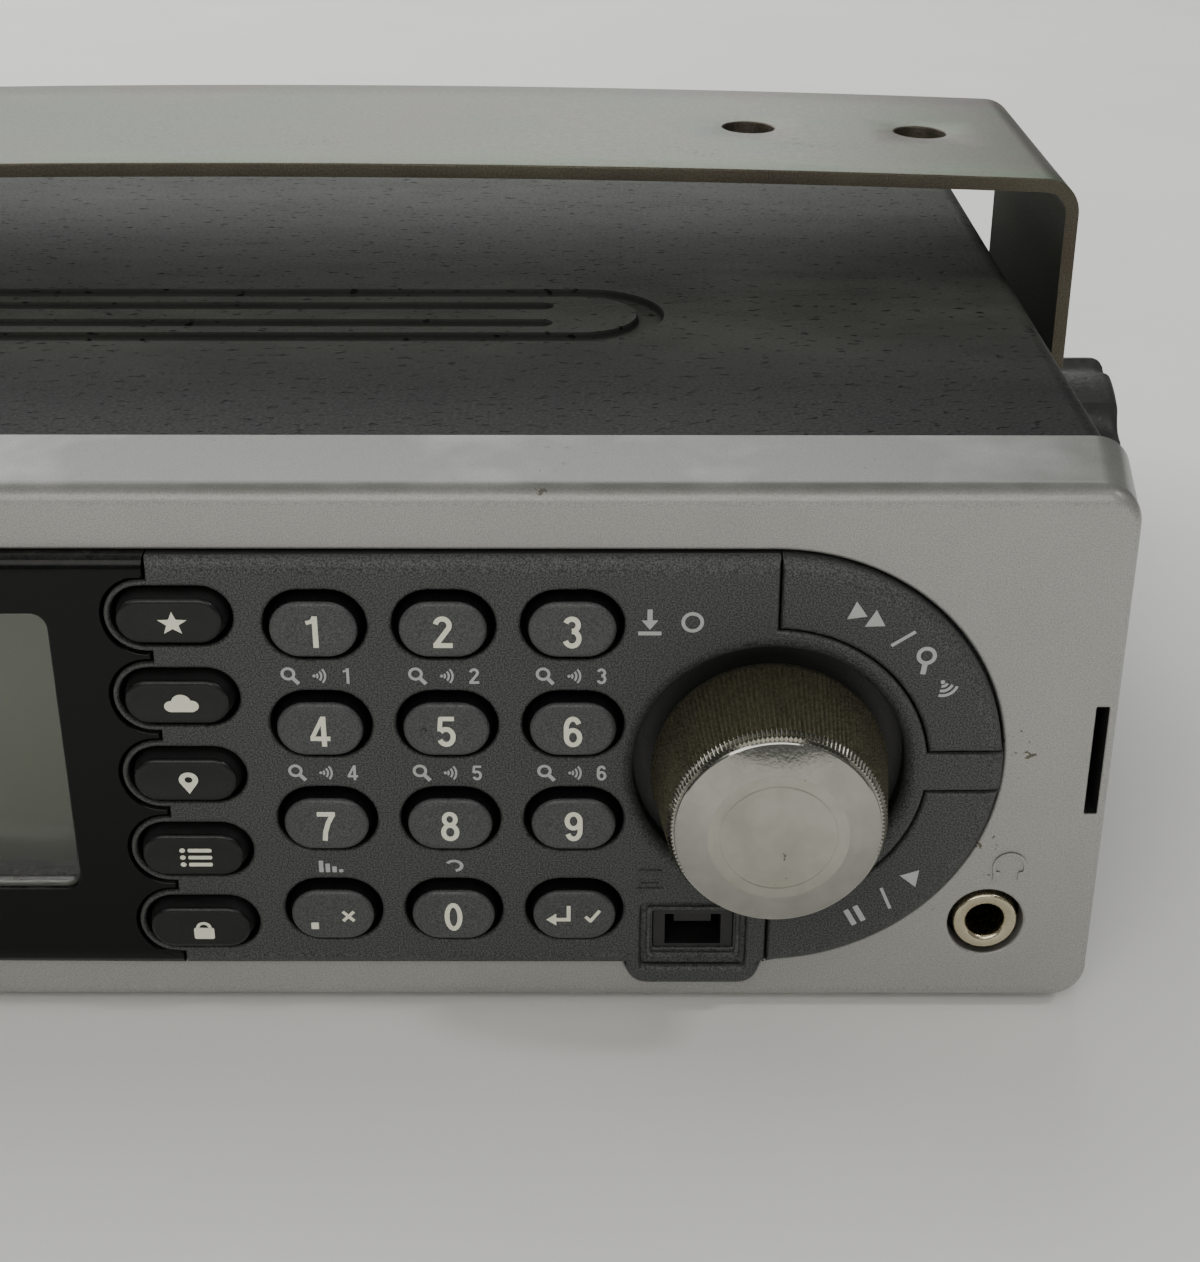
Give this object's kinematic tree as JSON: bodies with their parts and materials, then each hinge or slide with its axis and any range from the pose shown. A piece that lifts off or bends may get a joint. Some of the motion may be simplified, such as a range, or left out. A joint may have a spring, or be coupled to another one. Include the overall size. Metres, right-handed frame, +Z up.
{
  "type": "mobile scanner radio",
  "caption": "Mobile scanner receiver with display, keypad and scroll knob in a sheet-steel case, with a tilting U bracket and rear aerial socket.",
  "frame": {"origin": "middle of the flat bottom of the case, which rests on a table", "axes": "+X to the right seen from the front, +Y towards the rear panel, +Z up"},
  "size_m": [0.213, 0.1768, 0.0701],
  "materials": {
    "silver_paint": "fine metallic silver paint over moulded plastic, satin",
    "panel_plastic": "dark grey speckled paint on moulded plastic, satin",
    "lens_black": "black backed acrylic, polished",
    "clear_window": "clear acrylic, polished",
    "lcd": "grey green liquid crystal display",
    "black_plastic": "moulded black plastic",
    "silicone": "moulded silicone",
    "circuit_board": "green solder mask on glass epoxy",
    "key_plastic": "painted translucent keys, satin",
    "function_plastic": "black moulded keys, semi gloss",
    "dark_knurl": "dark anodised, straight knurl",
    "spun_aluminium": "turned bevel and spun face",
    "nickel": "nickel plated brass",
    "silver_knob": "silver paint, satin",
    "black_paint": "black wrinkle powder coat",
    "rear_cast": "black paint on die casting",
    "black_anodised": "black anodised extrusion",
    "tin_plate": "tin plated steel",
    "cable_film": "flat polyester cable",
    "speaker_paper": "black paper cone in a steel basket",
    "black_steel": "black zinc plated steel",
    "zinc_steel": "bright zinc plated steel",
    "white_insulator": "white fluoropolymer",
    "zinc_bracket": "yellow passivated zinc plate, greenish",
    "rubber": "black rubber",
    "thumb_plastic": "moulded black plastic"
  },
  "bodies": {
    "case": {"front_bezel": "silver_paint", "keypad_panel": "panel_plastic", "display_lens": "lens_black", "display_window": "clear_window", "lcd_glass": "lcd", "lcd_holder": "black_plastic", "keypad_mat": "silicone", "front_board": "circuit_board", "encoder_body": "black_plastic", "side_pots": "black_plastic", "headphone_jack": "black_plastic", "headphone_ferrule": "nickel", "serial_socket": "black_plastic", "top_cover": "black_paint", "bottom_tray": "black_paint", "rear_panel": "rear_cast", "heat_sink": "black_anodised", "main_board": "circuit_board", "shield_cans": "tin_plate", "flat_cable": "cable_film", "speaker": "speaker_paper", "case_screws": "black_steel", "board_screws": "zinc_steel", "aerial_socket": "nickel", "aerial_core": "white_insulator", "speaker_jack": "black_plastic", "power_jack": "black_plastic", "data_port": "tin_plate", "spacers": "rubber", "clinch_nuts": "zinc_steel"},
    "key_1": {"key_1": "key_plastic"},
    "key_2": {"key_2": "key_plastic"},
    "key_3": {"key_3": "key_plastic"},
    "key_4": {"key_4": "key_plastic"},
    "key_5": {"key_5": "key_plastic"},
    "key_6": {"key_6": "key_plastic"},
    "key_7": {"key_7": "key_plastic"},
    "key_8": {"key_8": "key_plastic"},
    "key_9": {"key_9": "key_plastic"},
    "key_point": {"key_point": "key_plastic"},
    "key_0": {"key_0": "key_plastic"},
    "key_enter": {"key_enter": "key_plastic"},
    "fn_key_1": {"fn_key_1": "function_plastic"},
    "fn_key_2": {"fn_key_2": "function_plastic"},
    "fn_key_3": {"fn_key_3": "function_plastic"},
    "fn_key_4": {"fn_key_4": "function_plastic"},
    "fn_key_5": {"fn_key_5": "function_plastic"},
    "scan_key": {"scan_key": "panel_plastic"},
    "hold_key": {"hold_key": "panel_plastic"},
    "scroll_rotor": {"encoder_rotor": "nickel"},
    "scroll_knob": {"scroll_knob": "dark_knurl", "scroll_cap": "spun_aluminium", "encoder_shaft": "nickel"},
    "volume": {"volume_knob": "silver_knob", "volume_shaft": "nickel"},
    "squelch": {"squelch_knob": "silver_knob", "squelch_shaft": "nickel"},
    "bracket": {"bracket": "zinc_bracket"},
    "thumb_knob_left": {"thumb_knob_left": "thumb_plastic"},
    "thumb_knob_right": {"thumb_knob_right": "thumb_plastic"}
  },
  "joints": [
    {"name": "key_1_press", "type": "slide", "parent": "case", "child": "key_1", "axis": [0, 1, 0], "range_m": [0, 0.001], "stiffness_N_per_m": 600, "springref_m": -0.0005},
    {"name": "key_2_press", "type": "slide", "parent": "case", "child": "key_2", "axis": [0, 1, 0], "range_m": [0, 0.001], "stiffness_N_per_m": 600, "springref_m": -0.0005},
    {"name": "key_3_press", "type": "slide", "parent": "case", "child": "key_3", "axis": [0, 1, 0], "range_m": [0, 0.001], "stiffness_N_per_m": 600, "springref_m": -0.0005},
    {"name": "key_4_press", "type": "slide", "parent": "case", "child": "key_4", "axis": [0, 1, 0], "range_m": [0, 0.001], "stiffness_N_per_m": 600, "springref_m": -0.0005},
    {"name": "key_5_press", "type": "slide", "parent": "case", "child": "key_5", "axis": [0, 1, 0], "range_m": [0, 0.001], "stiffness_N_per_m": 600, "springref_m": -0.0005},
    {"name": "key_6_press", "type": "slide", "parent": "case", "child": "key_6", "axis": [0, 1, 0], "range_m": [0, 0.001], "stiffness_N_per_m": 600, "springref_m": -0.0005},
    {"name": "key_7_press", "type": "slide", "parent": "case", "child": "key_7", "axis": [0, 1, 0], "range_m": [0, 0.001], "stiffness_N_per_m": 600, "springref_m": -0.0005},
    {"name": "key_8_press", "type": "slide", "parent": "case", "child": "key_8", "axis": [0, 1, 0], "range_m": [0, 0.001], "stiffness_N_per_m": 600, "springref_m": -0.0005},
    {"name": "key_9_press", "type": "slide", "parent": "case", "child": "key_9", "axis": [0, 1, 0], "range_m": [0, 0.001], "stiffness_N_per_m": 600, "springref_m": -0.0005},
    {"name": "key_point_press", "type": "slide", "parent": "case", "child": "key_point", "axis": [0, 1, 0], "range_m": [0, 0.001], "stiffness_N_per_m": 600, "springref_m": -0.0005},
    {"name": "key_0_press", "type": "slide", "parent": "case", "child": "key_0", "axis": [0, 1, 0], "range_m": [0, 0.001], "stiffness_N_per_m": 600, "springref_m": -0.0005},
    {"name": "key_enter_press", "type": "slide", "parent": "case", "child": "key_enter", "axis": [0, 1, 0], "range_m": [0, 0.001], "stiffness_N_per_m": 600, "springref_m": -0.0005},
    {"name": "fn_key_1_press", "type": "slide", "parent": "case", "child": "fn_key_1", "axis": [0, 1, 0], "range_m": [0, 0.001], "stiffness_N_per_m": 600, "springref_m": -0.0005},
    {"name": "fn_key_2_press", "type": "slide", "parent": "case", "child": "fn_key_2", "axis": [0, 1, 0], "range_m": [0, 0.001], "stiffness_N_per_m": 600, "springref_m": -0.0005},
    {"name": "fn_key_3_press", "type": "slide", "parent": "case", "child": "fn_key_3", "axis": [0, 1, 0], "range_m": [0, 0.001], "stiffness_N_per_m": 600, "springref_m": -0.0005},
    {"name": "fn_key_4_press", "type": "slide", "parent": "case", "child": "fn_key_4", "axis": [0, 1, 0], "range_m": [0, 0.001], "stiffness_N_per_m": 600, "springref_m": -0.0005},
    {"name": "fn_key_5_press", "type": "slide", "parent": "case", "child": "fn_key_5", "axis": [0, 1, 0], "range_m": [0, 0.001], "stiffness_N_per_m": 600, "springref_m": -0.0005},
    {"name": "scan_key_press", "type": "slide", "parent": "case", "child": "scan_key", "axis": [0, 1, 0], "range_m": [0, 0.001], "stiffness_N_per_m": 600, "springref_m": -0.0005},
    {"name": "hold_key_press", "type": "slide", "parent": "case", "child": "hold_key", "axis": [0, 1, 0], "range_m": [0, 0.001], "stiffness_N_per_m": 600, "springref_m": -0.0005},
    {"name": "scroll_turn", "type": "hinge", "parent": "case", "child": "scroll_rotor", "pos_m": [0.0588, -0.075, 0.02795], "axis": [0, -1, 0], "continuous": true},
    {"name": "scroll_push", "type": "slide", "parent": "scroll_rotor", "child": "scroll_knob", "axis": [0, 1, 0], "range_m": [0, 0.0008], "stiffness_N_per_m": 1500, "springref_m": -0.001},
    {"name": "volume_turn", "type": "hinge", "parent": "case", "child": "volume", "pos_m": [-0.0798, -0.075, 0.03795], "axis": [0, 1, 0], "range_deg": [-150, 150]},
    {"name": "squelch_turn", "type": "hinge", "parent": "case", "child": "squelch", "pos_m": [-0.0798, -0.075, 0.01795], "axis": [0, 1, 0], "range_deg": [-150, 150]},
    {"name": "bracket_tilt", "type": "hinge", "parent": "case", "child": "bracket", "pos_m": [0, 0.004, 0.026], "axis": [1, 0, 0], "range_deg": [-18, 18]},
    {"name": "thumb_knob_left_turn", "type": "hinge", "parent": "case", "child": "thumb_knob_left", "pos_m": [-0.1, 0.004, 0.026], "axis": [1, 0, 0], "continuous": true},
    {"name": "thumb_knob_right_turn", "type": "hinge", "parent": "case", "child": "thumb_knob_right", "pos_m": [0.1, 0.004, 0.026], "axis": [1, 0, 0], "continuous": true}
  ]
}
